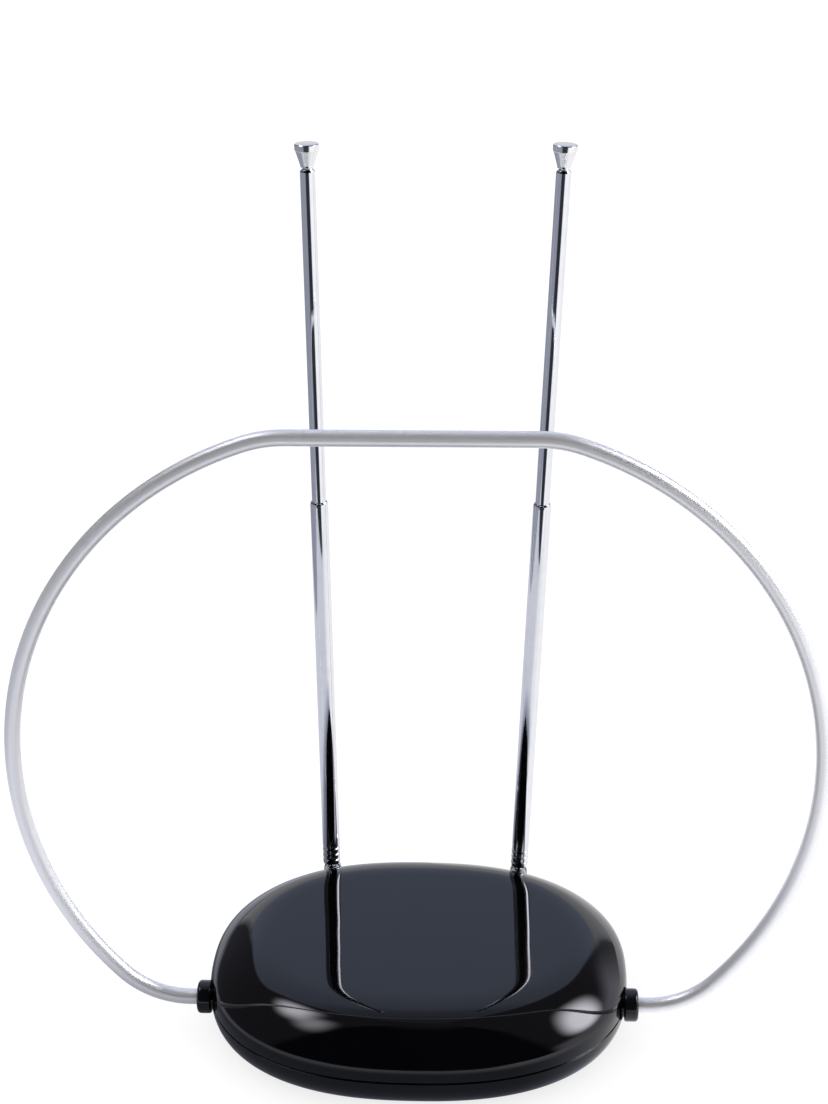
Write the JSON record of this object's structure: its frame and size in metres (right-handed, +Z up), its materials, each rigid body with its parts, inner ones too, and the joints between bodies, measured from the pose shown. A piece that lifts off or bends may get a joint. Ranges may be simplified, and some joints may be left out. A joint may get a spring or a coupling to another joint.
{
  "type": "rabbit ears antenna",
  "caption": "Indoor television antenna: pebble-shaped gloss black base, bent aluminium tube loop across it and telescopic chrome rods that swivel and tilt behind.",
  "frame": {"origin": "middle of the whole antenna's outline on the table, under the base", "axes": "+Z up, +X to the right seen from the front, -Y the front; the loop stands in a plane across X"},
  "size_m": [0.2062, 0.0966, 0.2249],
  "materials": {
    "base_gloss_black": "high gloss piano black",
    "base_lower_black": "gloss black",
    "collar_black": "satin black",
    "foot_rubber": "matt",
    "loop_aluminium": "satin drawn tube",
    "ballast_steel": "zinc plated",
    "tape_foam": "white double sided tape",
    "board_laminate": "paper laminate",
    "ferrite": "dark ferrite",
    "copper_wire": "enamelled copper",
    "socket_plating": "nickel plated",
    "socket_dielectric": "natural white",
    "contact_bronze": "phosphor bronze",
    "screw_steel": "black zinc",
    "lead_red": "wire insulation",
    "lead_black": "wire insulation",
    "spring_steel": "plated",
    "knuckle_metal": "plated",
    "dipole_chrome": "bright plated tube",
    "plug_brass": "turned"
  },
  "bodies": {
    "base": {"top_shell": "base_gloss_black", "bottom_shell": "base_lower_black", "rubber_feet": "foot_rubber", "ballast_plate": "ballast_steel", "ballast_tape": "tape_foam", "circuit_board": "board_laminate", "balun_core": "ferrite", "balun_winding": "copper_wire", "coax_socket_body": "socket_plating", "coax_socket_nut": "socket_plating", "coax_socket_washer": "socket_plating", "coax_socket_insulator": "socket_dielectric", "coax_socket_contact": "contact_bronze", "loop_contact_left": "contact_bronze", "loop_contact_right": "contact_bronze", "case_screws": "screw_steel", "board_screws": "screw_steel", "dipole_lead_left": "lead_black", "loop_lead_left": "lead_black", "dipole_lug_left": "contact_bronze", "dipole_lead_right": "lead_red", "loop_lead_right": "lead_red", "dipole_lug_right": "contact_bronze"},
    "loop": {"loop_tube": "loop_aluminium", "loop_collar_left": "collar_black", "loop_collar_right": "collar_black"},
    "left_swivel": {"dipole_swivel_left": "knuckle_metal", "tilt_pin_left": "spring_steel", "swivel_spring_left": "spring_steel", "swivel_nut_left": "spring_steel"},
    "left_dipole": {"dipole_end_plug_left": "plug_brass", "dipole_section_1_left": "dipole_chrome"},
    "left_second_section": {"dipole_section_2_left": "dipole_chrome", "section_2_bush_left": "plug_brass"},
    "left_third_section": {"dipole_section_3_left": "dipole_chrome", "section_3_bush_left": "plug_brass"},
    "left_tip": {"dipole_rod_left": "dipole_chrome", "rod_bush_left": "plug_brass", "tip_cap_left": "dipole_chrome"},
    "right_swivel": {"dipole_swivel_right": "knuckle_metal", "tilt_pin_right": "spring_steel", "swivel_spring_right": "spring_steel", "swivel_nut_right": "spring_steel"},
    "right_dipole": {"dipole_end_plug_right": "plug_brass", "dipole_section_1_right": "dipole_chrome"},
    "right_second_section": {"dipole_section_2_right": "dipole_chrome", "section_2_bush_right": "plug_brass"},
    "right_third_section": {"dipole_section_3_right": "dipole_chrome", "section_3_bush_right": "plug_brass"},
    "right_tip": {"dipole_rod_right": "dipole_chrome", "rod_bush_right": "plug_brass", "tip_cap_right": "dipole_chrome"}
  },
  "joints": [
    {"name": "loop_tilt", "type": "hinge", "parent": "base", "child": "loop", "pos_m": [0, -0.01405, 0.0102], "axis": [1, 0, 0], "range_deg": [-12, 90]},
    {"name": "left_swivel_turn", "type": "hinge", "parent": "base", "child": "left_swivel", "pos_m": [-0.0267, 0.03895, 0.0102], "axis": [0, 0, -1], "range_deg": [-90, 90]},
    {"name": "left_tilt", "type": "hinge", "parent": "left_swivel", "child": "left_dipole", "pos_m": [-0.0267, 0.03895, 0.0161], "axis": [0, -1, 0], "range_deg": [-5, 87.5]},
    {"name": "left_second_slide", "type": "slide", "parent": "left_dipole", "child": "left_second_section", "axis": [-0.0052, 0, 1], "range_m": [-0.086, 0]},
    {"name": "left_third_slide", "type": "slide", "parent": "left_second_section", "child": "left_third_section", "axis": [-0.0052, 0, 1], "range_m": [0, 0.084]},
    {"name": "left_tip_slide", "type": "slide", "parent": "left_third_section", "child": "left_tip", "axis": [-0.0052, 0, 1], "range_m": [0, 0.083]},
    {"name": "right_swivel_turn", "type": "hinge", "parent": "base", "child": "right_swivel", "pos_m": [0.0267, 0.03895, 0.0102], "axis": [0, 0, 1], "range_deg": [-90, 90]},
    {"name": "right_tilt", "type": "hinge", "parent": "right_swivel", "child": "right_dipole", "pos_m": [0.0267, 0.03895, 0.0161], "axis": [0, 1, 0], "range_deg": [-7, 85.3]},
    {"name": "right_second_slide", "type": "slide", "parent": "right_dipole", "child": "right_second_section", "axis": [0.0436, 0, 0.999], "range_m": [-0.086, 0]},
    {"name": "right_third_slide", "type": "slide", "parent": "right_second_section", "child": "right_third_section", "axis": [0.0436, 0, 0.999], "range_m": [0, 0.084]},
    {"name": "right_tip_slide", "type": "slide", "parent": "right_third_section", "child": "right_tip", "axis": [0.0436, 0, 0.999], "range_m": [0, 0.083]}
  ]
}
